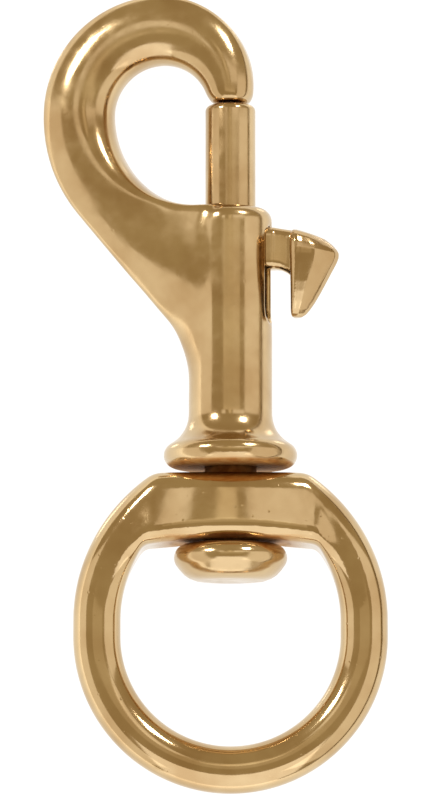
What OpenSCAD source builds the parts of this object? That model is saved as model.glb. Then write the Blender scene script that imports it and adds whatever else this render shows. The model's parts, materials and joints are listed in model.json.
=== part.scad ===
// Swivel snap hook: a cast hook and barrel with a spring bolt, on a swivel eye.
// The eye's centre is the origin. +Y runs along the barrel towards the hook,
// +X points to the thumb lever's side and +Z is up, off the table that it lies on.

/* [Barrel] */
// Outside diameter of the barrel
barrel_d = 8.3; // [7:0.1:10.5]
// Length of the barrel, from the underside of its flange to its mouth
barrel_length = 26; // [22:0.1:32]
// Radius of the rounded edge at the barrel's mouth
mouth_round = 1.3; // [0.4:0.1:1.4]
// Diameter of the flange at the foot of the barrel
flange_d = 13.3; // [12:0.1:16]
// Radius of the flange's rounded rim
rim_r = 1.25; // [0.8:0.05:1.5]
// Radius of the hollow curve between the barrel and the flange
flare_r = 3.5; // [2:0.1:5]
// How far the hook and barrel lie rolled over onto the hook, in degrees
body_roll = 11; // [0:1:15]

/* [Hook] */
// Gate, from the barrel's mouth to the hook's nose
gate = 10.6; // [8.5:0.1:12.8]
// Clear radius of the hook's bow
bow_r = 4.9; // [4:0.1:6]
// Thickness of the hook at its side
side_w = 7.2; // [6:0.1:8.6]
// Thickness of the hook at its top
top_w = 7.1; // [5.9:0.1:8.5]
// Width of the nose over the bolt
nose_w = 4.3; // [3.6:0.1:5.2]
// Front to back depth of the hook at its side
hook_depth = 6.4; // [5:0.1:7.6]
// Front to back depth of the nose
nose_depth = 4.9; // [4:0.1:5.8]
// Radius of the arm's outer curve below the bow
arm_r = 16; // [14:0.1:19]
// Angle of the arm to the barrel, in degrees
arm_angle = 39.5; // [34:0.5:44]
// Radius of the hollow where the arm runs down into the barrel
arm_fillet = 10; // [7:0.1:12]

/* [Bolt and lever] */
// Diameter of the bolt
bolt_d = 5; // [4.1:0.1:5.6]
// Radius of the rounded edge at the bolt's end
bolt_round = 0.6; // [0.2:0.1:1]
// How far the bolt draws back
travel = 5.2; // [4:0.1:6.2]
// Clearance of the bolt in its bore, on the radius
bore_clearance = 0.08; // [0.05:0.01:0.1]
// Gap between the bolt's end and the nose
nose_gap = 0.15; // [0.1:0.05:0.3]
// Width of the lever's neck in the slot
neck_w = 2.6; // [2:0.1:3]
// Height of the lever's neck along the barrel
neck_h = 4.2; // [3.4:0.1:5]
// Clearance of the neck in the slot, on each side
slot_clearance = 0.15; // [0.1:0.05:0.25]
// Distance from the barrel's mouth to the top of the slot
slot_margin = 1.9; // [1.7:0.1:3]
// Diameter of the lever's stud, pressed into the bolt
stud_d = 2.4; // [1.8:0.1:2.5]
// Reach of the lever from the barrel's surface
lever_reach = 6.5; // [5.5:0.1:8]
// Drop of the lever's claw below the top of its neck
claw_drop = 9; // [7.5:0.1:11]
// Width of the claw where the thumb bears
claw_w = 6; // [4:0.1:7.5]

/* [Spring] */
// Diameter of the spring's wire
spring_wire = 0.5; // [0.4:0.05:0.6]
// Number of turns in the spring
spring_turns = 12; // [9:1:13]

/* [Swivel pin] */
// Diameter of the pin's head
head_d = 11.2; // [9.5:0.1:12.5]
// Thickness of the head, without its crown
head_t = 2.7; // [2:0.1:3.2]
// Height of the flat crown under the head
head_crown = 0.8; // [0.3:0.1:1]
// Length of the pin's shank that is pressed into the barrel
shank_press = 5; // [4:0.1:6]

/* [Swivel eye] */
// Clear width of the eye
eye_width = 21.7; // [19:0.1:26.5]
// Diameter of the eye's wire
eye_wire = 4.7; // [4:0.1:5.6]
// Thickness of the eye's bar, along the pin
bar_t = 6.6; // [5.5:0.1:8]
// Front to back depth of the bar at the pin
bar_depth = 9.8; // [8.8:0.1:12]
// Distance of the bar's underside from the eye's centre, at the pin
bar_z = 9.4; // [8.5:0.1:11]
// Drop of the bar's arched underside towards the eye's sides
bar_arch = 0.5; // [0:0.1:0.8]
// Length of the eye's straight sides
side_straight = 1.6; // [1:0.1:3]
// Clearance of the pin's shank in the eye, on the radius
pin_clearance = 0.1; // [0.05:0.01:0.1]
// Gap between the bar and the flange
flange_gap = 0.7; // [0.3:0.1:1]
// Gap between the bar and the pin's head
head_gap = 0.3; // [0.2:0.1:0.6]

/* [Hidden] */
$fn = 64;
eps = 0.01;

BRASS_CAST = [0.78, 0.62, 0.38];
BRASS_TURNED = [0.80, 0.66, 0.42];
STEEL = [0.72, 0.72, 0.70];

// Levels along the barrel's axis, from the eye's centre.
bar_top = bar_z + bar_t;
flange_z = bar_top + flange_gap;
mouth_z = flange_z + barrel_length;
nose_z = mouth_z + gate;
head_z = bar_z - head_gap;
shank_top = flange_z + shank_press;

barrel_r = barrel_d / 2;
bolt_r = bolt_d / 2;
bore_r = bolt_r + bore_clearance;

// The hook's outline in its own plane, x across and z along the barrel.
nose_angle = 8;
nose_bevel = 0.35;
bow_x = -(nose_w / 2 + bow_r * cos(nose_angle));
bow_z = nose_z - bow_r * sin(nose_angle);
throat_r = bow_z - mouth_z + eps;
throat_x = bow_x + throat_r - bow_r;
side_x = bow_x - bow_r - side_w;
crown_r = bow_r + top_w;
crown_x = side_x + crown_r;
crown_h = bow_z + crown_r - nose_z;
crown_half = nose_w / 2 - crown_x;
brow_r = (crown_half * crown_half + crown_h * crown_h) / (2 * crown_h);
brow_z = bow_z + crown_r - brow_r;
brow_end = -asin((brow_z - nose_z) / brow_r);
arm_x = side_x + arm_r;
arm_end = [arm_x - arm_r * cos(arm_angle), bow_z - arm_r * sin(arm_angle)];
fillet_x = -barrel_r - arm_fillet;
fillet_start_x = fillet_x + arm_fillet * cos(arm_angle);
fillet_z = arm_end.y - (fillet_start_x - arm_end.x) / tan(arm_angle) - arm_fillet * sin(arm_angle);

// The lever, in the hook's plane.
slot_top = mouth_z - slot_margin;
slot_w = neck_w + 2 * slot_clearance;
slot_h = neck_h + travel + 2 * slot_clearance;
neck_z = slot_top - slot_clearance - neck_h / 2;
stud_in = 1.5;
claw_top = neck_z + neck_h / 2 - 0.5;
claw_tip = neck_z + neck_h / 2 - claw_drop;
claw_out = barrel_r + lever_reach;
claw_in = barrel_r + lever_reach * 0.34;

bolt_top = nose_z - nose_gap;
bolt_foot = neck_z - stud_d / 2 - 2.4;

// The eye's outline, round below and squarer above.
eye_in_r = eye_width / 2;
eye_out_r = eye_in_r + eye_wire;
seat_r = head_d / 2 + 0.4;

// The upper quarter of each outline is a shoulder arc with a rounded corner to the bar.
shoulder_in_r = eye_in_r + 1.6;
shoulder_out_r = eye_out_r + 1.4;
shoulder_in_x = eye_in_r - shoulder_in_r;
shoulder_out_x = eye_out_r - shoulder_out_r;
corner_in_r = 1.2;
corner_out_r = 2.6;
corner_in_z = bar_z - bar_arch - corner_in_r;
corner_out_z = bar_top - corner_out_r;
corner_in_end = asin((corner_in_z - side_straight) / (shoulder_in_r - corner_in_r));
corner_out_end = asin((corner_out_z - side_straight) / (shoulder_out_r - corner_out_r));
corner_in_x = shoulder_in_x + (shoulder_in_r - corner_in_r) * cos(corner_in_end);
corner_out_x = shoulder_out_x + (shoulder_out_r - corner_out_r) * cos(corner_out_end);

// Sampling of the lofted shapes: points round a section.
sides = 24;

function mix(a, b, t) = a + (b - a) * t;
function on_arc(x, z, r, angle) = [x + r * cos(angle), z + r * sin(angle)];
function power(v, n) = sign(v) * pow(abs(v), n);

// A section between an inner and an outer point of an outline: a rounded shape as
// deep as depth, which is an ellipse at squareness 2 and nears a box above that.
function section(inner, outer, depth, squareness) =
    let (mid = (inner + outer) / 2, half = (outer - inner) / 2)
    [for (i = [0 : sides - 1])
        let (a = 360 * i / sides,
             u = power(cos(a), 2 / squareness),
             v = power(sin(a), 2 / squareness))
        [mid.x + half.x * u, depth / 2 * v, mid.y + half.y * u]];

function steps(n) = [for (i = [0 : n - 1]) i / n];

// Skins a row of sections. A closed row joins its last section to its first.
module loft(rows, closed = false) {
    count = len(rows);
    last = closed ? count : count - 1;
    walls = [for (k = [0 : last - 1], i = [0 : sides - 1])
        let (k2 = (k + 1) % count, i2 = (i + 1) % sides)
        [k * sides + i, k * sides + i2, k2 * sides + i2, k2 * sides + i]];
    caps = closed ? [] : [
        [for (i = [sides - 1 : -1 : 0]) i],
        [for (i = [0 : sides - 1]) (count - 1) * sides + i]];
    polyhedron([for (row = rows) for (p = row) p], concat(walls, caps), convexity = 6);
}

// Turns the upright model so that it lies with its barrel along +Y.
module lay_down() rotate([-90, 0, 0]) children();

// Lays down the hook, the barrel and what is in them, rolled over onto the hook.
module lay_rolled() lay_down() rotate([0, 0, -body_roll]) children();

root_depth = hook_depth * 0.8;
arm_depth = hook_depth * 1.02;

function hook_sections() = concat(
    [for (t = steps(5)) section(
        [0, mix(fillet_z, arm_end.y - 8, t)],
        on_arc(fillet_x, fillet_z, arm_fillet, arm_angle * t),
        mix(root_depth, arm_depth, t / 2), 3)],
    [for (t = steps(6)) section(
        [0, mix(arm_end.y - 8, mouth_z - 0.9, t)],
        mix([fillet_start_x, fillet_z + arm_fillet * sin(arm_angle)], arm_end, t),
        mix(root_depth, arm_depth, 0.5 + t / 2), 3)],
    [for (t = steps(12)) section(
        on_arc(throat_x, bow_z, throat_r, mix(284, 180, t)),
        on_arc(arm_x, bow_z, arm_r, mix(180 + arm_angle, 180, t)),
        mix(arm_depth, hook_depth, t), mix(3, 2.4, t))],
    [for (t = steps(10)) section(
        on_arc(bow_x, bow_z, bow_r, mix(180, 92, t)),
        on_arc(crown_x, bow_z, crown_r, mix(180, 90, t)),
        mix(hook_depth, mix(hook_depth, nose_depth, 0.4), t), 2.4)],
    [for (t = steps(12)) section(
        on_arc(bow_x, bow_z, bow_r, mix(92, nose_angle + 4, t)),
        on_arc(crown_x, brow_z, brow_r, mix(90, brow_end + 2.3, t)),
        mix(mix(hook_depth, nose_depth, 0.4), nose_depth, t), 2.4)],
    [section(
        on_arc(bow_x, bow_z, bow_r, nose_angle + 4),
        on_arc(crown_x, brow_z, brow_r, brow_end + 2.3),
        nose_depth, 2.4)],
    [section(
        [-nose_w / 2 + nose_bevel, nose_z],
        [nose_w / 2 - nose_bevel, nose_z],
        nose_depth - 2 * nose_bevel, 2.4)]);

// The barrel's profile: tube, rounded mouth, hollow flare and round flange rim.
module barrel_profile() {
    rim_x = flange_d / 2 - rim_r;
    rim_z = flange_z + rim_r;
    flare_x = barrel_r + flare_r;
    flare_z = rim_z + sqrt(pow(rim_r + flare_r, 2) - pow(flare_x - rim_x, 2));
    translate([0, flange_z]) square([barrel_r, barrel_length - mouth_round]);
    translate([0, flange_z]) square([barrel_r - mouth_round, barrel_length]);
    translate([barrel_r - mouth_round, mouth_z - mouth_round]) circle(mouth_round);
    translate([0, flange_z]) square([rim_x, rim_r]);
    translate([rim_x, rim_z]) circle(rim_r);
    difference() {
        polygon([[0, rim_z], [rim_x, rim_z], [flare_x, flare_z], [0, flare_z]]);
        translate([flare_x, flare_z]) circle(flare_r);
    }
}

// The slot for the lever's neck, grown by grow on every side.
module slot_shape(width, height) {
    translate([-width / 2, -height / 2 + width / 2]) square([width, height - width]);
    for (s = [-1, 1]) translate([0, s * (height - width) / 2]) circle(width / 2);
}

// A bar of the slot's or neck's section, running out along +X from x0.
module radial_bar(width, height, z, x0, x1) {
    translate([x0, 0, z]) rotate([90, 0, 90]) linear_extrude(x1 - x0) slot_shape(width, height);
}

module snap_body() {
    color(BRASS_CAST) lay_rolled() difference() {
        union() {
            rotate_extrude() barrel_profile();
            loft(hook_sections());
        }
        translate([0, 0, flange_z - 1]) cylinder(r = bore_r, h = barrel_length + 2);
        radial_bar(slot_w, slot_h, slot_top - slot_h / 2, 0, barrel_r + 1);
    }
}

module bolt() {
    color(BRASS_TURNED) lay_rolled() difference() {
        rotate_extrude() {
            translate([0, bolt_foot]) square([bolt_r, bolt_top - bolt_round - bolt_foot]);
            translate([0, bolt_foot]) square([bolt_r - bolt_round, bolt_top - bolt_foot]);
            translate([bolt_r - bolt_round, bolt_top - bolt_round])
                intersection() {
                    circle(bolt_round);
                    square(bolt_round);
                }
        }
        translate([-stud_in, 0, neck_z]) rotate([0, 90, 0]) cylinder(d = stud_d, h = bolt_d);
    }
}

// The claw that the thumb draws back: broad above, running down to a blunt tip.
module claw() {
    top_round = 1.1;
    back_round = 0.8;
    inner_round = 0.7;
    tip_round = 0.45;
    hull() {
        for (s = [-1, 1]) {
            translate([claw_out - top_round, s * (claw_w / 2 - top_round), claw_top - 1.9])
                sphere(top_round, $fn = 32);
            translate([claw_in + inner_round, s * (claw_w / 2 - inner_round), claw_top - inner_round])
                sphere(inner_round, $fn = 32);
        }
        translate([claw_out - 1 - back_round, 0, mix(claw_top, claw_tip, 0.6)])
            sphere(back_round, $fn = 32);
        translate([claw_in + tip_round - 0.2, 0, claw_tip + tip_round]) sphere(tip_round, $fn = 32);
    }
}

module thumb_lever() {
    color(BRASS_CAST) lay_rolled() {
        claw();
        difference() {
            radial_bar(neck_w, neck_h, neck_z, 0, claw_in + 1);
            translate([0, 0, neck_z - neck_h]) cylinder(r = bolt_r, h = 2 * neck_h);
        }
        translate([-stud_in, 0, neck_z]) rotate([0, 90, 0]) cylinder(d = stud_d, h = stud_in + bolt_r + 1);
    }
}

// The spring's own section, swept along its helix between the pin and the bolt.
spring_sides = 8;
spring_steps = 20;
spring_r = bore_r - spring_wire / 2 - 0.15;
spring_low = shank_top + spring_wire / 2;
spring_high = bolt_foot - spring_wire / 2;
spring_dead = 1;

// Height along the spring: its end turns lie flat and the rest climb evenly.
function spring_z(turn) =
    let (live = spring_turns - 2 * spring_dead,
         flat = spring_wire * 1.02,
         climb = spring_high - spring_low - 2 * spring_dead * flat)
    turn < spring_dead ? spring_low + turn * flat
    : turn > spring_turns - spring_dead ? spring_high - (spring_turns - turn) * flat
    : spring_low + spring_dead * flat + climb * (turn - spring_dead) / live;

function spring_ring(turn) =
    [for (i = [0 : spring_sides - 1])
        let (a = 360 * i / spring_sides, r = spring_r + spring_wire / 2 * cos(a))
        [r * cos(360 * turn), r * sin(360 * turn), spring_z(turn) + spring_wire / 2 * sin(a)]];

module return_spring() {
    count = spring_turns * spring_steps + 1;
    rings = [for (k = [0 : count - 1]) spring_ring(k / spring_steps)];
    walls = [for (k = [0 : count - 2], i = [0 : spring_sides - 1])
        let (i2 = (i + 1) % spring_sides)
        [k * spring_sides + i, (k + 1) * spring_sides + i, (k + 1) * spring_sides + i2, k * spring_sides + i2]];
    caps = [
        [for (i = [0 : spring_sides - 1]) i],
        [for (i = [spring_sides - 1 : -1 : 0]) (count - 1) * spring_sides + i]];
    color(STEEL) lay_rolled()
        polyhedron([for (ring = rings) for (p = ring) p], concat(walls, caps), convexity = 20);
}

// The swivel pin's profile: a shank with a round-edged head and a flat crown under it.
module pin_profile() {
    head_r = head_d / 2;
    edge = head_t / 2;
    crown_w = head_r * 0.68;
    crown_edge = head_crown * 0.6;
    translate([0, head_z - head_t]) square([head_r - edge, head_t]);
    translate([head_r - edge, head_z - edge]) circle(edge);
    translate([0, head_z]) square([bore_r, shank_top - head_z]);
    translate([0, head_z - head_t - head_crown]) square([crown_w - crown_edge, head_crown + eps]);
    translate([0, head_z - head_t - head_crown + crown_edge]) square([crown_w, head_crown - crown_edge + eps]);
    translate([crown_w - crown_edge, head_z - head_t - head_crown + crown_edge]) circle(crown_edge);
}

module swivel_pin() {
    color(BRASS_TURNED) lay_rolled() rotate_extrude() pin_profile();
}

// One side of the eye, from the middle of its bar down to the lowest point.
function eye_half() = concat(
    [for (t = steps(5)) section(
        [corner_in_x * t, bar_z - bar_arch * t * t], [corner_out_x * t, bar_top],
        mix(bar_depth, bar_depth * 0.92, t), 4)],
    [for (t = steps(6)) section(
        on_arc(corner_in_x, corner_in_z, corner_in_r, mix(90, corner_in_end, t)),
        on_arc(corner_out_x, corner_out_z, corner_out_r, mix(90, corner_out_end, t)),
        mix(bar_depth * 0.92, bar_depth * 0.8, t), mix(4, 3.4, t))],
    [for (t = steps(10)) section(
        on_arc(shoulder_in_x, side_straight, shoulder_in_r, mix(corner_in_end, 0, t)),
        on_arc(shoulder_out_x, side_straight, shoulder_out_r, mix(corner_out_end, 0, t)),
        mix(bar_depth * 0.8, eye_wire, sin(90 * t)), mix(3.4, 2, t))],
    [for (t = steps(14)) section(
        on_arc(0, 0, eye_in_r, -90 * t), on_arc(0, 0, eye_out_r, -90 * t), eye_wire, 2)]);

function mirrored(row) = [for (p = row) [-p.x, p.y, p.z]];

module swivel_eye() {
    half = eye_half();
    bottom = section([0, -eye_in_r], [0, -eye_out_r], eye_wire, 2);
    rows = concat(half, [bottom], [for (k = [len(half) - 1 : -1 : 1]) mirrored(half[k])]);
    color(BRASS_CAST) lay_down() difference() {
        loft(rows, closed = true);
        translate([0, 0, bar_z - 1]) cylinder(r = bore_r + pin_clearance, h = bar_t + 2);
        translate([0, 0, bar_z - 2]) cylinder(r = seat_r, h = 2);
    }
}

snap_body();
bolt();
thumb_lever();
return_spring();
swivel_pin();
swivel_eye();
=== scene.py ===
import json
import math

import bmesh
import bpy
from mathutils import Matrix, Vector


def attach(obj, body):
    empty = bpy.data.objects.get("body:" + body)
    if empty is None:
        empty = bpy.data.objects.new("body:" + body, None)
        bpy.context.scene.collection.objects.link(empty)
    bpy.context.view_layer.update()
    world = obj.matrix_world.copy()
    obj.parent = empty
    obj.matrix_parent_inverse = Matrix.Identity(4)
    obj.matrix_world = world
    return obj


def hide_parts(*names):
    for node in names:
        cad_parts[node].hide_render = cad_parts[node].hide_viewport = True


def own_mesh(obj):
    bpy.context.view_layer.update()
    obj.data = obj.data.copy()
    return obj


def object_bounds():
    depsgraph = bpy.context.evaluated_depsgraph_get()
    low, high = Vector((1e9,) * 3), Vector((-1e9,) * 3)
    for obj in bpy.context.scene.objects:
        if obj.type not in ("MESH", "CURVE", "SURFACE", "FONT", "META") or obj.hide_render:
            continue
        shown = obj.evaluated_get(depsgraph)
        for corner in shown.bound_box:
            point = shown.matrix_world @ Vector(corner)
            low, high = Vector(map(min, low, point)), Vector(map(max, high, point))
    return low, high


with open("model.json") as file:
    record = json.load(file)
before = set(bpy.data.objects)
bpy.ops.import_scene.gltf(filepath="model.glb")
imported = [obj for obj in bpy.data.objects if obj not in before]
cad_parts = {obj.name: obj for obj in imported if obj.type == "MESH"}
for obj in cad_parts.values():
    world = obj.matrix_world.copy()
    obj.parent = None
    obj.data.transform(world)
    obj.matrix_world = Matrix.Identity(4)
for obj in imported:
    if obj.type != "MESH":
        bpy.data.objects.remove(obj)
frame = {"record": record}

cad_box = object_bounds()


def mm(value):
    return value / 1000.0


# ---------------------------------------------------------------- sizes, in millimetres
BARREL_R = 4.15
FLANGE_Y = 16.7
MOUTH_Y = 42.7
NOSE_Y = 53.3
BORE_R = 2.58
BOLT_R = 2.5
BOLT_FOOT_Y = 34.95
SLOT_WIDTH, SLOT_LOW, SLOT_HIGH = 2.9, 31.1, 40.8
PIN_END_Y = 21.7
PIN_HOLE_R = 2.68
EYE_BAR_Y = 9.4
# About the middle of the snap's length, where the lights and the camera aim.
MID_Y = 23.5
# Points closer than this are one point.
SAME_PLACE = 0.002
# The snap lies rolled over on its hook, and so does the throat's axis in the record.
THROAT_AXIS = frame["record"]["mounts"][1]["axis"]
ROLL = math.atan2(-THROAT_AXIS[0], THROAT_AXIS[2])


# ---------------------------------------------------------------- the workshop's small tools
def clear():
    """Leaves nothing selected."""
    bpy.ops.object.select_all(action="DESELECT")


def alone(piece):
    """Selects one piece and nothing else."""
    clear()
    bpy.context.view_layer.objects.active = piece
    piece.select_set(True)


def edit(piece):
    """Opens one piece alone for editing, with nothing in it selected."""
    alone(piece)
    bpy.ops.object.mode_set(mode="EDIT")
    bpy.ops.mesh.select_all(action="DESELECT")


def done():
    """Closes the piece that was open for editing."""
    bpy.ops.object.mode_set(mode="OBJECT")


def pick_faces(piece, wanted):
    """Selects the faces for which wanted(centre in mm) holds."""
    bpy.ops.mesh.select_mode(type="FACE")
    mesh = bmesh.from_edit_mesh(piece.data)
    for face in mesh.faces:
        face.select_set(wanted(face.calc_center_median() * 1000))
    mesh.select_flush_mode()
    bmesh.update_edit_mesh(piece.data)


def put(piece, ring):
    """Puts the selected points on a ring of places, in the order they were made."""
    mesh = bmesh.from_edit_mesh(piece.data)
    for point, place in zip([v for v in mesh.verts if v.select], ring):
        point.co = place / 1000
    bmesh.update_edit_mesh(piece.data)


def drawn_through(name, rings, closed=False):
    """Extrudes a section through every ring, as a bar is swept along its path."""
    clear()
    bpy.ops.mesh.primitive_circle_add(
        vertices=len(rings[0]), radius=mm(2), fill_type="NOTHING" if closed else "NGON")
    piece = bpy.context.object
    piece.name = name
    bpy.ops.object.mode_set(mode="EDIT")
    bpy.ops.mesh.select_mode(type="VERT")
    bpy.ops.mesh.select_all(action="SELECT")
    put(piece, rings[0])
    for ring in rings[1:]:
        bpy.ops.mesh.extrude_region_move()
        put(piece, ring)
    if closed:
        bpy.ops.mesh.extrude_region_move()
        put(piece, rings[0])
    bpy.ops.mesh.select_all(action="SELECT")
    bpy.ops.mesh.remove_doubles(threshold=mm(SAME_PLACE))
    bpy.ops.mesh.normals_make_consistent(inside=False)
    done()
    return piece


def turned(name, outline, sides=96):
    """Turns an outline of (radius, place along Y): extrude, then scale, ring by ring."""
    clear()
    radius, place = outline[0]
    bpy.ops.mesh.primitive_circle_add(
        vertices=sides, radius=mm(radius), fill_type="NGON",
        location=(0, mm(place), 0), rotation=(math.radians(90), 0, 0))
    piece = bpy.context.object
    piece.name = name
    bpy.ops.object.transform_apply(location=True, rotation=True, scale=True)
    bpy.ops.object.mode_set(mode="EDIT")
    bpy.ops.mesh.select_all(action="SELECT")
    for new_radius, new_place in outline[1:]:
        bpy.ops.mesh.extrude_region_move(
            TRANSFORM_OT_translate={"value": (0, mm(new_place - place), 0)})
        share = new_radius / radius
        bpy.ops.transform.resize(value=(share, 1, share), center_override=(0, mm(new_place), 0))
        radius, place = new_radius, new_place
    bpy.ops.mesh.select_all(action="SELECT")
    bpy.ops.mesh.normals_make_consistent(inside=False)
    done()
    return piece


def use(piece, kind, **settings):
    """Adds a modifier and applies it."""
    alone(piece)
    modifier = piece.modifiers.new(kind.title(), kind)
    for setting, value in settings.items():
        setattr(modifier, setting, value)
    bpy.ops.object.modifier_apply(modifier=modifier.name)


def combine(piece, other, how):
    """Joins another solid on, or cuts it away, and uses it up."""
    use(piece, "BOOLEAN", object=other, operation=how, solver="MANIFOLD")
    bpy.data.objects.remove(other)


def tumble(piece, grain, passes):
    """Gives a casting one skin and softens its corners all over, as tumbling leaves them."""
    use(piece, "REMESH", mode="VOXEL", voxel_size=mm(grain), use_smooth_shade=True)
    use(piece, "SMOOTH", factor=0.5, iterations=passes)


def smooth(piece, angle=None):
    """Shades a piece smooth all over, or only where its faces meet at less than an angle."""
    alone(piece)
    if angle is None:
        bpy.ops.object.shade_smooth()
    else:
        bpy.ops.object.shade_smooth_by_angle(angle=math.radians(angle))


def roll_over(piece):
    """Rolls a piece about the barrel's axis, as the snap lies on its hook."""
    alone(piece)
    piece.rotation_euler = (0, -ROLL, 0)
    bpy.ops.object.transform_apply(location=True, rotation=True, scale=True)


def hand_over(piece, name, body, nodes, material):
    """Names a piece, gives it its finish and its body, and hides the nodes it stands for."""
    piece.name = name
    piece.data.name = name
    piece.data.materials.clear()
    piece.data.materials.append(material)
    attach(piece, body)
    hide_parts(*nodes)


# ---------------------------------------------------------------- shapes of sections
def mix(a, b, t):
    """From a to b as t goes from 0 to 1."""
    return a + (b - a) * t


def on_arc(x, y, r, degrees):
    """The point at an angle on the circle of radius r about (x, y)."""
    turn = math.radians(degrees)
    return Vector((x + r * math.cos(turn), y + r * math.sin(turn)))


def power(value, n):
    """A power that keeps the value's sign."""
    return math.copysign(abs(value) ** n, value)


def cast_section(inner, outer, depth, crest, outer_bulge, inner_bulge, wall=1.0):
    """A closed section between an inner and an outer point of the outline. Its crest stands
    crest of the way out; a bulge of 1 slopes straight down from it, 2 is an oval, 4 nearly a box.
    A wall above 1 cuts the outer curve off short, for a broad shoulder above a steep edge; the
    edge is then drawn in a little, as its corners would stick out where the snap lies rolled."""
    sides, draw_in = 48, 1.3
    middle = inner.lerp(outer, crest)
    outer = outer + (middle - outer).normalized() * draw_in * (wall - 1)
    ring = []
    for k in range(sides):
        a = math.tau * (k + 0.5) / sides
        bulge = outer_bulge if math.cos(a) > 0 else inner_bulge
        u, v = power(math.cos(a), 2 / bulge), power(math.sin(a), 2 / bulge)
        if u > 0:
            place = middle + (outer - middle) * min(u * wall, 1)
        else:
            place = middle + (middle - inner) * u
        ring.append(Vector((place.x, place.y, depth / 2 * v)))
    return ring


def filleted_section(inner, outer, depth, radius, lean, sides=64):
    """A rectangle with rounded corners between an inner and an outer point of the outline.
    Its faces may lean outwards by some degrees."""
    middle = (inner + outer) / 2
    along = (outer - inner).normalized()
    a, b = (outer - inner).length / 2, depth / 2
    r = min(radius, a, b)
    ring = []
    for corner, (sx, sz) in enumerate(((1, 1), (-1, 1), (-1, -1), (1, -1))):
        for k in range(sides // 4):
            turn = math.radians(90 * corner + 90 * k / (sides // 4 - 1))
            u = sx * (a - r) + r * math.cos(turn)
            z = sz * (b - r) + r * math.sin(turn)
            ring.append(Vector((middle.x + along.x * u, middle.y + along.y * u,
                                z * (1 - u * math.tan(math.radians(lean)) / b))))
    return ring


def ease(t):
    """From 0 to 1 with a soft start and a soft stop."""
    t = min(max(t, 0), 1)
    return t * t * (3 - 2 * t)


def steps(n):
    """The starts of n equal steps from 0 to 1."""
    return [k / n for k in range(n)]


# ---------------------------------------------------------------- finishes
def linear(code):
    """A colour from its sRGB hex code."""
    shares = [int(code[k:k + 2], 16) / 255 for k in (1, 3, 5)]
    return [c / 12.92 if c <= 0.04045 else ((c + 0.055) / 1.055) ** 2.4 for c in shares] + [1.0]


def new_finish(name):
    """An empty finish and its shader."""
    material = bpy.data.materials.new(name)
    material.use_nodes = True
    return material, material.node_tree.nodes["Principled BSDF"]


def node(material, kind, settings=None, links=None):
    """Adds a node. Settings go on its sockets or properties, and "Ends" are a ramp's two
    (position, colour) ends; links come from (node, socket)."""
    made = material.node_tree.nodes.new(kind)
    for key, value in (settings or {}).items():
        if key == "Ends":
            for end, (position, code) in zip(made.color_ramp.elements, value):
                end.position, end.color = position, linear(code)
        elif isinstance(key, int) or key in made.inputs:
            made.inputs[key].default_value = value
        else:
            setattr(made, key, value)
    for key, (source, socket) in (links or {}).items():
        material.node_tree.links.new(source.outputs[socket], made.inputs[key])
    return made


def mottled_shade(material, here, deep, pale):
    """Painted shade for the gaps between parts, mottled deep to pale in spots about 0.8 mm across.
    """
    mottle = node(material, "ShaderNodeTexNoise", {"Scale": 1200.0, "Detail": 4.0}, here)
    return node(material, "ShaderNodeValToRGB", {"Ends": ((0.4, deep), (0.65, pale))},
                {"Fac": (mottle, "Fac")})


BRASS_PALE, BRASS_DEEP = "#CDB48B", "#BC9F75"
# Painted shade: the deep and pale brown of the gaps between the flange, the eye's bar and the
# pin's head.
SHADE_UMBER_PALE, SHADE_UMBER_DEEP = "#C8A068", "#B8844C"


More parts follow.
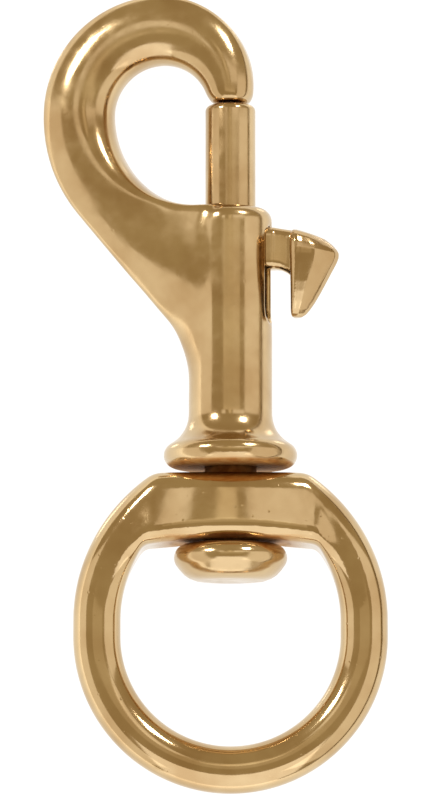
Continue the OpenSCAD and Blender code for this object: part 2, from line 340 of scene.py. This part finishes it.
def brass(name, roughness, wave, pits, painted_shade=None):
    """Polished brass. The polish leaves slow waves, so reflections wander; small casting pits
    show as specks; a thin film of handling dulls it in patches. A band given as (y, half
    height, half width), in mm, is painted dull and brown as shade, where it faces a gap."""
    material, shader = new_finish(name)
    shader.inputs["Metallic"].default_value = 1.0
    tree = material.node_tree
    place = node(material, "ShaderNodeTexCoord")
    here = {"Vector": (place, "Object")}
    # Patches of film, about 6 mm across.
    film = node(material, "ShaderNodeTexNoise",
                {"Scale": 160.0, "Detail": 3.0, "Roughness": 0.55}, here)
    colour = node(material, "ShaderNodeValToRGB",
                  {"Ends": ((0.35, BRASS_DEEP), (0.62, BRASS_PALE))}, {"Fac": (film, "Fac")})
    # Painted shade: a dull brown band, faded at its edges, where the part faces another across a
    # gap.
    if painted_shade:
        y, tall, wide = painted_shade
        fade_y, fade_x, brown_roughness = 0.25, 3.5, 0.6
        axes = node(material, "ShaderNodeSeparateXYZ", links=here)
        above = node(material, "ShaderNodeMath", {"operation": "SUBTRACT", 1: mm(y)},
                     {0: (axes, "Y")})
        far_y = node(material, "ShaderNodeMath", {"operation": "ABSOLUTE"}, {0: (above, "Value")})
        far_x = node(material, "ShaderNodeMath", {"operation": "ABSOLUTE"}, {0: (axes, "X")})
        in_y, in_x = [
            node(material, "ShaderNodeMapRange",
                 {"From Min": mm(half), "From Max": mm(half + fade), "To Min": 1.0, "To Max": 0.0},
                 {"Value": (far, "Value")})
            for half, fade, far in ((tall, fade_y, far_y), (wide, fade_x, far_x))]
        share = node(material, "ShaderNodeMath", {"operation": "MULTIPLY"},
                     {0: (in_y, "Result"), 1: (in_x, "Result")})
        umber = mottled_shade(material, here, SHADE_UMBER_DEEP, SHADE_UMBER_PALE)
        mixed = node(material, "ShaderNodeMix", {"data_type": "RGBA"},
                     {"Factor": (share, "Value"), 6: (colour, "Color"), 7: (umber, "Color")})
        tree.links.new(mixed.outputs[2], shader.inputs["Base Color"])
    else:
        tree.links.new(colour.outputs["Color"], shader.inputs["Base Color"])
    # Dulling, about 1.5 mm across, within the polish's range.
    dull = node(material, "ShaderNodeTexNoise", {"Scale": 700.0, "Detail": 4.0}, here)
    rough = node(material, "ShaderNodeMapRange",
                 {"From Min": 0.35, "From Max": 0.7,
                  "To Min": roughness * 0.8, "To Max": roughness * 1.5},
                 {"Value": (dull, "Fac")})
    if painted_shade:
        rough = node(material, "ShaderNodeMix", {"data_type": "FLOAT", 3: brown_roughness},
                     {"Factor": (share, "Value"), 2: (rough, "Result")})
    tree.links.new(rough.outputs[0], shader.inputs["Roughness"])
    # Slow waves from the polishing wheel, about 3 mm.
    waves = node(material, "ShaderNodeTexNoise", {"Scale": 330.0, "Detail": 1.0}, here)
    slow = node(material, "ShaderNodeBump", {"Strength": 1.0, "Distance": mm(wave)},
                {"Height": (waves, "Fac")})
    # Casting pits, a few tenths of a millimetre.
    pit = node(material, "ShaderNodeTexVoronoi", {"Scale": 900.0}, here)
    hole = node(material, "ShaderNodeMapRange",
                {"From Min": 0.02, "From Max": 0.12, "To Min": 0.0, "To Max": 1.0},
                {"Value": (pit, "Distance")})
    speck = node(material, "ShaderNodeBump", {"Strength": pits, "Distance": mm(0.02)},
                 {"Height": (hole, "Result"), "Normal": (slow, "Normal")})
    tree.links.new(speck.outputs["Normal"], shader.inputs["Normal"])
    return material


# Painted shade, as (y, half height, half width) in mm: a brown band at the flange's foot, over the
# gap to the eye's bar, and one on the eye's bar round the pin's head.
FLANGE_SHADE_BAND = (16.0, 0.95, 20)
EYE_SHADE_BAND = (8.5, 1.0, 4.5)
cast_brass = brass("Cast brass, tumble polished", 0.15, 0.012, 0.25)
flange_brass = brass("Cast brass, with painted shade at its foot", 0.15, 0.012, 0.25, FLANGE_SHADE_BAND)
ground_brass = brass("Cast brass, ground and buffed", 0.1, 0.006, 0.5, EYE_SHADE_BAND)
turned_brass = brass("Turned brass, polished", 0.17, 0.012, 0.1)


def recess():
    """Painted shade for brass in a gap between parts: dull, part metallic, mottled brown."""
    material, shader = new_finish("Cast brass, painted shade in a gap")
    shader.inputs["Metallic"].default_value = 0.6
    shader.inputs["Roughness"].default_value = 0.55
    place = node(material, "ShaderNodeTexCoord")
    # Painted shade colours: deep and pale brown.
    colour = mottled_shade(material, {"Vector": (place, "Object")}, "#7A4E26", "#9A6E3E")
    material.node_tree.links.new(colour.outputs["Color"], shader.inputs["Base Color"])
    return material


painted_shade_brass = recess()


def painted_shade(piece, wanted):
    """Gives the dull brown finish of painted shade to the faces for which wanted(centre in mm)
    holds.
    """
    piece.data.materials.append(painted_shade_brass)
    edit(piece)
    pick_faces(piece, wanted)
    piece.active_material_index = 1
    bpy.ops.object.material_slot_assign()
    done()


def spring_wire():
    """Hard drawn spring steel: grey, with a film of oil that varies its gloss."""
    material, shader = new_finish("Spring steel wire, drawn")
    shader.inputs["Metallic"].default_value = 1.0
    tree = material.node_tree
    place = node(material, "ShaderNodeTexCoord")
    # Patches of oil, about 1 mm across.
    oil = node(material, "ShaderNodeTexNoise", {"Scale": 900.0, "Detail": 3.0},
               {"Vector": (place, "Object")})
    colour = node(material, "ShaderNodeValToRGB", {"Ends": ((0.3, "#8E8A84"), (0.7, "#BDBBB6"))},
                  {"Fac": (oil, "Fac")})
    tree.links.new(colour.outputs["Color"], shader.inputs["Base Color"])
    rough = node(material, "ShaderNodeMapRange", {"To Min": 0.25, "To Max": 0.45},
                 {"Value": (oil, "Fac")})
    tree.links.new(rough.outputs["Result"], shader.inputs["Roughness"])
    return material


drawn_steel = spring_wire()


# ---------------------------------------------------------------- hook and barrel
def barrel_outline():
    """Flange rim, hollow flare, straight barrel and rounded mouth, from the foot up."""
    flange_d, rim_r, flare_r, mouth_round, foot_in = 13.3, 1.25, 3.5, 1.3, 2
    rim_x, rim_y = flange_d / 2 - rim_r, FLANGE_Y + rim_r
    flare_x = BARREL_R + flare_r
    flare_y = rim_y + math.sqrt((rim_r + flare_r) ** 2 - (flare_x - rim_x) ** 2)
    meet = math.degrees(math.atan2(flare_y - rim_y, flare_x - rim_x))
    top = MOUTH_Y - mouth_round
    outline = [(rim_x - foot_in, FLANGE_Y)]
    outline += [tuple(on_arc(rim_x, rim_y, rim_r, mix(-90, meet, k / 16))) for k in range(17)]
    outline += [tuple(on_arc(flare_x, flare_y, flare_r, mix(meet + 180, 180, k / 16)))
                for k in range(1, 17)]
    outline += [(BARREL_R, mix(flare_y, top, k / 20)) for k in range(1, 20)]
    outline += [tuple(on_arc(BARREL_R - mouth_round, top, mouth_round, 90 * k / 10))
                for k in range(11)]
    return outline


def hook_rings():
    """Stations from the arm's root, round the bow, to the nose."""
    bow_r, side_w, top_w, nose_w, nose_round = 4.9, 7.2, 7.1, 4.3, 0.8
    arm_r, arm_angle, fillet = 16.0, 39.5, 10.0
    # Depths, crests, bulges and walls of the section, from the root to the nose.
    root_depth, low_depth, arm_depth, depth, nose_depth = 8.0, 7.8, 7.2, 6.4, 4.9
    brow_depth = mix(depth, nose_depth, 0.4)
    low_crest, arm_crest, crest = 0.12, 0.24, 0.5
    root_out, low_out, arm_out, side_out, crown_out, nose_out = 2, 1.45, 2.4, 1.95, 2.1, 2.0
    root_in, arm_in, bow_in = 2, 3, 2.3
    arm_wall, bow_wall = 1.13, 1.2
    # Inside, the throat's arc runs into the bow's; outside, the crown's runs into the brow's.
    lean = math.radians(8)
    bow_x = -(nose_w / 2 + bow_r * math.cos(lean))
    bow_y = NOSE_Y - bow_r * math.sin(lean)
    throat_r = bow_y - MOUTH_Y
    throat_x = bow_x + throat_r - bow_r
    side_x = bow_x - bow_r - side_w
    crown_r = bow_r + top_w
    crown_x = side_x + crown_r
    rise, half = bow_y + crown_r - NOSE_Y, nose_w / 2 - crown_x
    brow_r = (half * half + rise * rise) / (2 * rise)
    brow_y = bow_y + crown_r - brow_r
    brow_end = -math.degrees(math.asin((brow_y - NOSE_Y) / brow_r))
    throat_start, bow_top, nose_in, nose_short = 284, 92, 18.5, 5.2
    # The arm runs down to the barrel and into it by a fillet.
    arm_x = side_x + arm_r
    arm_end = on_arc(arm_x, bow_y, arm_r, 180 + arm_angle)
    fillet_x = -BARREL_R - fillet
    turn = math.radians(arm_angle)
    start_x = fillet_x + fillet * math.cos(turn)
    fillet_y = arm_end.y - (start_x - arm_end.x) / math.tan(turn) - fillet * math.sin(turn)
    start = on_arc(fillet_x, fillet_y, fillet, arm_angle)
    low, mouth = arm_end.y - 8, MOUTH_Y - 0.9
    rings = []
    for t in steps(20):
        inner = Vector((0, mix(fillet_y, low, t)))
        outer = on_arc(fillet_x, fillet_y, fillet, arm_angle * t)
        bulge = mix(root_out, low_out, ease((t - 0.35) / 0.65))
        wall = mix(1, arm_wall, ease(t * 1.4 - 0.4))
        rings.append(cast_section(inner, outer, mix(root_depth, low_depth, t), low_crest * t,
                                  bulge, root_in, wall))
    for t in steps(20):
        inner = Vector((0, mix(low, mouth, t)))
        outer = start.lerp(arm_end, t)
        bulge = mix(low_out, arm_out, ease((t - 0.17) / 0.55))
        rings.append(cast_section(inner, outer, mix(low_depth, arm_depth, t),
                                  mix(low_crest, arm_crest, t), bulge, mix(root_in, arm_in, t),
                                  arm_wall))
    for t in steps(36):
        inner = on_arc(throat_x, bow_y, throat_r, mix(throat_start, 180, t))
        outer = on_arc(arm_x, bow_y, arm_r, mix(180 + arm_angle, 180, t))
        rings.append(cast_section(inner, outer, mix(arm_depth, depth, t),
                                  mix(arm_crest, crest, t), mix(arm_out, side_out, t),
                                  mix(arm_in, bow_in, t), mix(arm_wall, bow_wall, t)))
    for t in steps(30):
        inner = on_arc(bow_x, bow_y, bow_r, mix(180, bow_top, t))
        outer = on_arc(crown_x, bow_y, crown_r, mix(180, 90, t))
        rings.append(cast_section(inner, outer, mix(depth, brow_depth, t), crest,
                                  mix(side_out, crown_out, ease(t)), bow_in, bow_wall))
    for t in steps(36) + [1.0]:
        inner = on_arc(bow_x, bow_y, bow_r, mix(bow_top, nose_in, t))
        outer = on_arc(crown_x, brow_y, brow_r, mix(90, brow_end + nose_short, t))
        rings.append(cast_section(inner, outer, mix(brow_depth, nose_depth, t), crest,
                                  mix(crown_out, nose_out, ease(t)), bow_in,
                                  mix(bow_wall, 1, ease(t * 1.2 - 0.2))))
    for degrees in (20, 45, 70, 90):
        inset = nose_round * (1 - math.cos(math.radians(degrees)))
        up = nose_round * (1 - math.sin(math.radians(degrees)))
        rings.append(cast_section(Vector((-nose_w / 2 + inset, NOSE_Y + up)),
                                  Vector((nose_w / 2 - inset, NOSE_Y + up)),
                                  nose_depth - 2 * inset, crest, bow_in, bow_in))
    return rings


def slot_cutter():
    """A round-ended bar along +X, for the slot in the barrel's side."""
    round_r = SLOT_WIDTH / 2
    ring = []
    for end, turn in ((SLOT_HIGH - round_r, 0), (SLOT_LOW + round_r, 180)):
        for k in range(13):
            a = math.radians(turn + 180 * k / 12)
            ring.append((end + round_r * math.sin(a), round_r * math.cos(a)))
    return drawn_through("Slot cutter", [[Vector((x, y, z)) for y, z in ring]
                                         for x in (0.5, BARREL_R + 1)])


def make_hook():
    """The casting: barrel, flange and hook in one, bored up its axis and slotted."""
    barrel = turned("Barrel", barrel_outline(), 128)
    hook = drawn_through("Hook", hook_rings())
    combine(barrel, hook, "UNION")
    use(barrel, "REMESH", mode="VOXEL", voxel_size=mm(0.2), use_smooth_shade=True)
    # Where the arm runs into the barrel the pattern was filleted by hand. The fillet fades
    # out at x -7.5 and -0.4 and at y 23 and 43.6.
    fillet = barrel.vertex_groups.new(name="fillet")
    for point in barrel.data.vertices:
        x, y = point.co.x * 1000, point.co.y * 1000
        share = ease((x + 7.5) / 2.5) * ease((-0.4 - x) / 1.6)
        share *= ease((y - 23) / 4)
        share *= ease((43.6 - y) / 1.6)
        if share > 0:
            fillet.add([point.index], share, "REPLACE")
    use(barrel, "SMOOTH", factor=0.5, iterations=70, vertex_group="fillet")
    barrel.vertex_groups.clear()
    bore = turned("Bore cutter", [(BORE_R, FLANGE_Y - 1), (BORE_R, MOUTH_Y + 1)], 128)
    combine(barrel, bore, "DIFFERENCE")
    combine(barrel, slot_cutter(), "DIFFERENCE")
    tumble(barrel, 0.18, 8)
    smooth(barrel)
    roll_over(barrel)
    hand_over(barrel, "hook_and_barrel", "snap", ["snap_body"], flange_brass)


# ---------------------------------------------------------------- bolt, lever, spring and pin
def make_bolt():
    """The rod that closes the hook, chamfered at its foot and rounded at its end."""
    rounding, chamfer, top = 0.6, 0.3, NOSE_Y - 0.15
    shoulder = BOLT_FOOT_Y + chamfer
    outline = [(BOLT_R - chamfer, BOLT_FOOT_Y), (BOLT_R, shoulder)]
    outline += [(BOLT_R, mix(shoulder, top - rounding, k / 12)) for k in range(1, 12)]
    outline += [tuple(on_arc(BOLT_R - rounding, top - rounding, rounding, 90 * k / 8))
                for k in range(9)]
    bolt = turned("Bolt", outline)
    smooth(bolt, 40)
    roll_over(bolt)
    hand_over(bolt, "bolt_rod", "bolt", ["bolt"], turned_brass)


def claw_section(inner, outer, half, height):
    """Flat towards the barrel, a ridge, a narrow face, then the broad face the thumb pulls on."""
    wide = outer - inner
    side = ((0, 0), (0, 0.35), (0, 0.7), (0.02, 0.86), (0.07, 0.93), (0.13, 0.98),
            (0.18, 1.0), (0.23, 0.975), (0.3, 0.925), (0.4, 0.885), (0.48, 0.85),
            (0.56, 0.79), (0.66, 0.67), (0.76, 0.54), (0.86, 0.4), (0.94, 0.25))
    outline = [(inner + wide * x, half * z) for x, z in side]
    outline += [(outer, 0)] + [(x, -z) for x, z in outline[:0:-1]]
    return [Vector((x, height(x), z)) for x, z in outline]


def make_lever():
    """The claw for the thumb, on a neck that comes out through the slot."""
    claw_x = 6.4
    levels = (
        # inner x, outer x, half depth, height at claw_x, fall per mm outwards
        (6.8, 8.9, 1.4, 40.4, 0.3), (6.55, 9.7, 2.2, 40.2, 0.28),
        (6.38, 10.35, 2.65, 39.75, 0.26), (6.34, 10.8, 2.85, 39.1, 0.2),
        (6.34, 10.98, 2.9, 38.4, 0.12), (6.34, 10.95, 2.85, 37.7, 0.06),
        (6.36, 10.75, 2.75, 37.0, 0.02), (6.36, 10.3, 2.6, 36.1, 0.0),
        (6.36, 9.7, 2.35, 35.0, 0.0), (6.34, 9.15, 2.05, 34.0, 0.0),
        (6.3, 8.55, 1.7, 33.0, 0.0), (6.26, 8.05, 1.35, 32.3, 0.0),
        (6.24, 7.65, 1.0, 31.85, 0.0), (6.32, 7.2, 0.6, 31.58, 0.0),
    )
    claw = drawn_through("Claw", [
        claw_section(inner, outer, half, lambda x, y=y, fall=fall: y - fall * (x - claw_x))
        for inner, outer, half, y, fall in levels])
    # The neck: straight in the slot, arched below where it runs into the claw.
    stations = (
        # x, low, high, half depth
        (1.2, 36.45, 40.65, 1.3), (3.9, 36.45, 40.65, 1.3), (4.5, 36.45, 40.62, 1.3),
        (4.6, 36.45, 40.6, 1.22), (5.2, 36.35, 40.5, 1.1), (5.8, 36.05, 40.4, 1.02),
        (6.4, 35.5, 40.3, 1.05), (7.4, 35.2, 40.0, 1.3),
    )
    corner, sides = 0.8, 32
    neck = []
    for x, low, high, half in stations:
        section = filleted_section(Vector((low, 0)), Vector((high, 0)), 2 * half, corner, 0, sides)
        neck.append([Vector((x, point.x, point.z)) for point in section])
    combine(claw, drawn_through("Neck", neck), "UNION")
    clearance = turned("Bolt clearance", [(BOLT_R - 0.02, 30), (BOLT_R - 0.02, 46)])
    combine(claw, clearance, "DIFFERENCE")
    tumble(claw, 0.09, 5)
    smooth(claw)
    roll_over(claw)
    hand_over(claw, "thumb_claw", "bolt", ["thumb_lever"], cast_brass)


def make_spring():
    """The coil between the pin's end and the bolt's foot, its wire capped at both ends."""
    wire, turns, radius, low, high = 0.5, 11, 2.18, PIN_END_Y, BOLT_FOOT_Y
    clear()
    bpy.ops.mesh.primitive_circle_add(
        vertices=12, radius=mm(wire / 2), location=(mm(radius), mm(low + wire / 2), 0))
    spring = bpy.context.object
    bpy.ops.object.transform_apply(location=True, rotation=True, scale=True)
    use(spring, "SCREW", axis="Y", angle=math.tau, screw_offset=mm((high - low - wire) / turns),
        iterations=turns, steps=28, render_steps=28, use_normal_calculate=True)
    edit(spring)
    bpy.ops.mesh.select_all(action="SELECT")
    bpy.ops.mesh.remove_doubles(threshold=mm(SAME_PLACE))
    bpy.ops.mesh.select_all(action="DESELECT")
    bpy.ops.mesh.select_mode(type="EDGE")
    bpy.ops.mesh.select_non_manifold()
    bpy.ops.mesh.edge_face_add()
    bpy.ops.mesh.select_all(action="SELECT")
    bpy.ops.mesh.normals_make_consistent(inside=False)
    done()
    smooth(spring, 50)
    roll_over(spring)
    hand_over(spring, "closing_spring", "snap", ["return_spring"], drawn_steel)
    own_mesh(spring)


def make_pin():
    """The headed pin that the eye turns on, with painted shade above the head, in the gap under
    the eye's bar.
    """
    head_r, top, thick, crown, fillet, chamfer = 5.6, 9.1, 2.7, 0.95, 0.3, 0.2
    edge = thick / 2
    low = top - thick - crown
    outline = [(1.5, low), (2.8, low + 0.01), (3.5, low + 0.07), (4.1, low + 0.28),
               (4.6, low + 0.62), (5.0, low + 1.06)]
    outline += [tuple(on_arc(head_r - edge, top - edge, edge, -40 + 130 * k / 24))
                for k in range(25)]
    outline += [(BORE_R + fillet, top), (BORE_R, top + fillet),
                (BORE_R, PIN_END_Y - chamfer), (BORE_R - chamfer, PIN_END_Y)]
    pin = turned("Pin", outline)
    smooth(pin, 50)
    roll_over(pin)
    hand_over(pin, "swivel_pin_turned", "snap", ["swivel_pin"], turned_brass)
    # Painted shade on the head's top and the shank, in the gap under the eye's bar.
    painted_shade(pin, lambda place: place.y > top - 0.1)


# ---------------------------------------------------------------- swivel eye
def eye_rings():
    """Stations from the middle of the bar down one side to the lowest point, and back up the
    other, which mirrors it."""
    in_r, wire = 10.85, 4.7
    out_r = in_r + wire
    bar_top, arch, straight, bar_depth, bar_corner, bar_lean = 16.0, 0.5, 1.6, 9.8, 1.7, 6.0
    face_r = 34
    sh_in, sh_out = in_r + 1.6, out_r + 1.4
    x_in, x_out = in_r - sh_in, out_r - sh_out
    c_in, c_out = 1.2, 2.6
    c_in_y, c_out_y = EYE_BAR_Y - arch - c_in, bar_top - c_out
    end_in = math.degrees(math.asin((c_in_y - straight) / (sh_in - c_in)))
    end_out = math.degrees(math.asin((c_out_y - straight) / (sh_out - c_out)))
    c_in_x = x_in + (sh_in - c_in) * math.cos(math.radians(end_in))
    c_out_x = x_out + (sh_out - c_out) * math.cos(math.radians(end_out))
    pairs = [(Vector((c_in_x * t, EYE_BAR_Y - arch * t * t)), Vector((c_out_x * t, bar_top)))
             for t in steps(36)]
    pairs += [(on_arc(c_in_x, c_in_y, c_in, mix(90, end_in, t)),
               on_arc(c_out_x, c_out_y, c_out, mix(90, end_out, t))) for t in steps(14)]
    pairs += [(on_arc(x_in, straight, sh_in, mix(end_in, 0, t)),
               on_arc(x_out, straight, sh_out, mix(end_out, 0, t))) for t in steps(30)]
    pairs += [(on_arc(0, 0, in_r, -90 * t), on_arc(0, 0, out_r, -90 * t)) for t in steps(45)]
    pairs.append((Vector((0, -in_r)), Vector((0, -out_r))))

    def section(inner, outer, side):
        middle = (inner + outer) / 2
        round_by = math.degrees(math.atan2(middle.x, middle.y))
        depth, lean = wire, 0
        if round_by < 90:
            # The bar's face is crowned and ground to lean a little upwards.
            depth = max(wire, bar_depth - 2 * middle.x ** 2 / (2 * face_r))
            lean = bar_lean * ease((13.0 - middle.x) / 4)
        corner = mix(bar_corner, wire / 2, ease((round_by - 27) / 24))
        return filleted_section(Vector((inner.x * side, inner.y)),
                                Vector((outer.x * side, outer.y)), depth, corner, lean)

    half = [section(*pair, 1) for pair in pairs]
    return half + [section(*pair, -1) for pair in pairs[-2:0:-1]]


def make_eye():
    """The round eye, its bar drilled for the pin and cut flat below for the pin's head."""
    eye = drawn_through("Eye", eye_rings(), closed=True)
    combine(eye, turned("Pin hole", [(PIN_HOLE_R, 8), (PIN_HOLE_R, 18)]), "DIFFERENCE")
    combine(eye, turned("Head seat", [(6.0, 7), (6.0, EYE_BAR_Y)]), "DIFFERENCE")
    tumble(eye, 0.16, 8)
    smooth(eye)
    hand_over(eye, "swivel_eye_cast", "eye", ["swivel_eye"], ground_brass)


make_hook()
make_bolt()
make_lever()
make_spring()
make_pin()
make_eye()


# ---------------------------------------------------------------- table, lights and camera
def make_table():
    """A wide white sheet just under the snap."""
    clear()
    bpy.ops.mesh.primitive_plane_add(size=6.0, location=(0, 0, cad_box[0].z - mm(0.05)))
    table = bpy.context.object
    table.name = "table"
    material, shader = new_finish("White acrylic sheet, lit from below")
    shader.inputs["Base Color"].default_value = linear("#6C6C6A")
    shader.inputs["Roughness"].default_value = 0.12
    shader.inputs["Emission Color"].default_value = linear("#FFFFFF")
    shader.inputs["Emission Strength"].default_value = 0.95
    table.data.materials.append(material)


def soft_light(name, side, lean, width, length, brightness, colour, distance=0.8):
    """A diffused light. Seen from the snap it stands side degrees from overhead towards +X and
    lean degrees towards +Y, and it is width by length degrees. Its distance is in metres."""
    a, b = math.radians(side), math.radians(lean)
    away = Vector((math.sin(a) * math.cos(b), math.sin(b), math.cos(a) * math.cos(b)))
    across = Vector((math.cos(a), 0, -math.sin(a)))
    w, h = (2 * distance * math.tan(math.radians(size / 2)) for size in (width, length))
    clear()
    bpy.ops.object.light_add(type="AREA", location=Vector((0, mm(MID_Y), 0)) + away * distance)
    lamp = bpy.context.object
    lamp.name = name
    lamp.rotation_mode = "QUATERNION"
    facing = Matrix((across, away.cross(across), away)).transposed()
    lamp.rotation_quaternion = facing.to_quaternion()
    lamp.data.shape = "RECTANGLE"
    lamp.data.size, lamp.data.size_y = w, h
    lamp.data.energy = 4 * w * h * brightness
    lamp.data.color = linear(colour)[:3]
    lamp.visible_camera = False


COOL, WARM, WHITE = "#F6F9FF", "#FFFBED", "#FFFFFF"


def make_lights():
    """A warm room, with softboxes at the sides and in front, panels overhead and two strobes."""
    world = bpy.data.worlds.new("Studio")
    bpy.context.scene.world = world
    world.use_nodes = True
    room = world.node_tree.nodes["Background"]
    room.inputs["Color"].default_value = linear("#FFE6B4")
    room.inputs["Strength"].default_value = 0.5
    soft_light("left_softbox", -76.5, -20, 51, 76, 0.5, COOL)
    soft_light("right_softbox", 62.5, -18, 51, 74, 0.5, COOL)
    soft_light("ceiling_bounce", 2.5, 5.5, 45, 13, 0.12, WARM)
    soft_light("near_card", 2.5, 10.1, 45, 5.5, 0.16, WARM, 0.25)
    soft_light("ceiling_panel_left", -19.6, 17.5, 10, 10, 0.5, COOL)
    soft_light("ceiling_panel_middle", -1.3, 17.5, 6.9, 10, 0.36, WARM)
    soft_light("ceiling_panel_right", 22.5, 17.5, 31, 10, 0.5, COOL)
    soft_light("front_softbox", 0, -60, 60, 64, 0.85, "#EDF3FF")
    soft_light("left_strobe", -47, 29, 11, 11, 20.0, WHITE)
    soft_light("right_strobe", 39, 40.5, 11, 11, 20.0, WHITE)


def make_card():
    """A low brown card, standing just out of view on the right, draws a line down each edge."""
    clear()
    aside, height, tall, length = 62, 4.4, 8.6, 400
    bpy.ops.mesh.primitive_plane_add(
        size=1.0, location=(mm(aside), mm(MID_Y), cad_box[0].z + mm(height)),
        rotation=(0, math.radians(-90), 0))
    card = bpy.context.object
    card.name = "dark_card"
    card.scale = (mm(tall), mm(length), 1)
    bpy.ops.object.transform_apply(location=True, rotation=True, scale=True)
    card.visible_camera = False
    material, shader = new_finish("Brown card, matt")
    shader.inputs["Base Color"].default_value = linear("#8A7A5C")
    shader.inputs["Roughness"].default_value = 0.9
    card.data.materials.append(material)


def make_camera():
    """A long lens from nearly overhead."""
    clear()
    tilt, distance, aside = math.radians(82.8), 0.5, -0.645
    aim = Vector((mm(aside), mm(MID_Y), 0))
    back = Vector((0, -math.cos(tilt), math.sin(tilt)))
    bpy.ops.object.camera_add(location=aim + back * distance)
    camera = bpy.context.object
    camera.rotation_mode = "QUATERNION"
    camera.rotation_quaternion = (-back).to_track_quat("-Z", "Y")
    camera.data.lens = 226.6
    camera.data.sensor_width = 36
    camera.data.clip_start = 0.01
    bpy.context.scene.camera = camera


make_table()
make_card()
make_lights()
make_camera()
bpy.context.scene.view_settings.view_transform = "Standard"
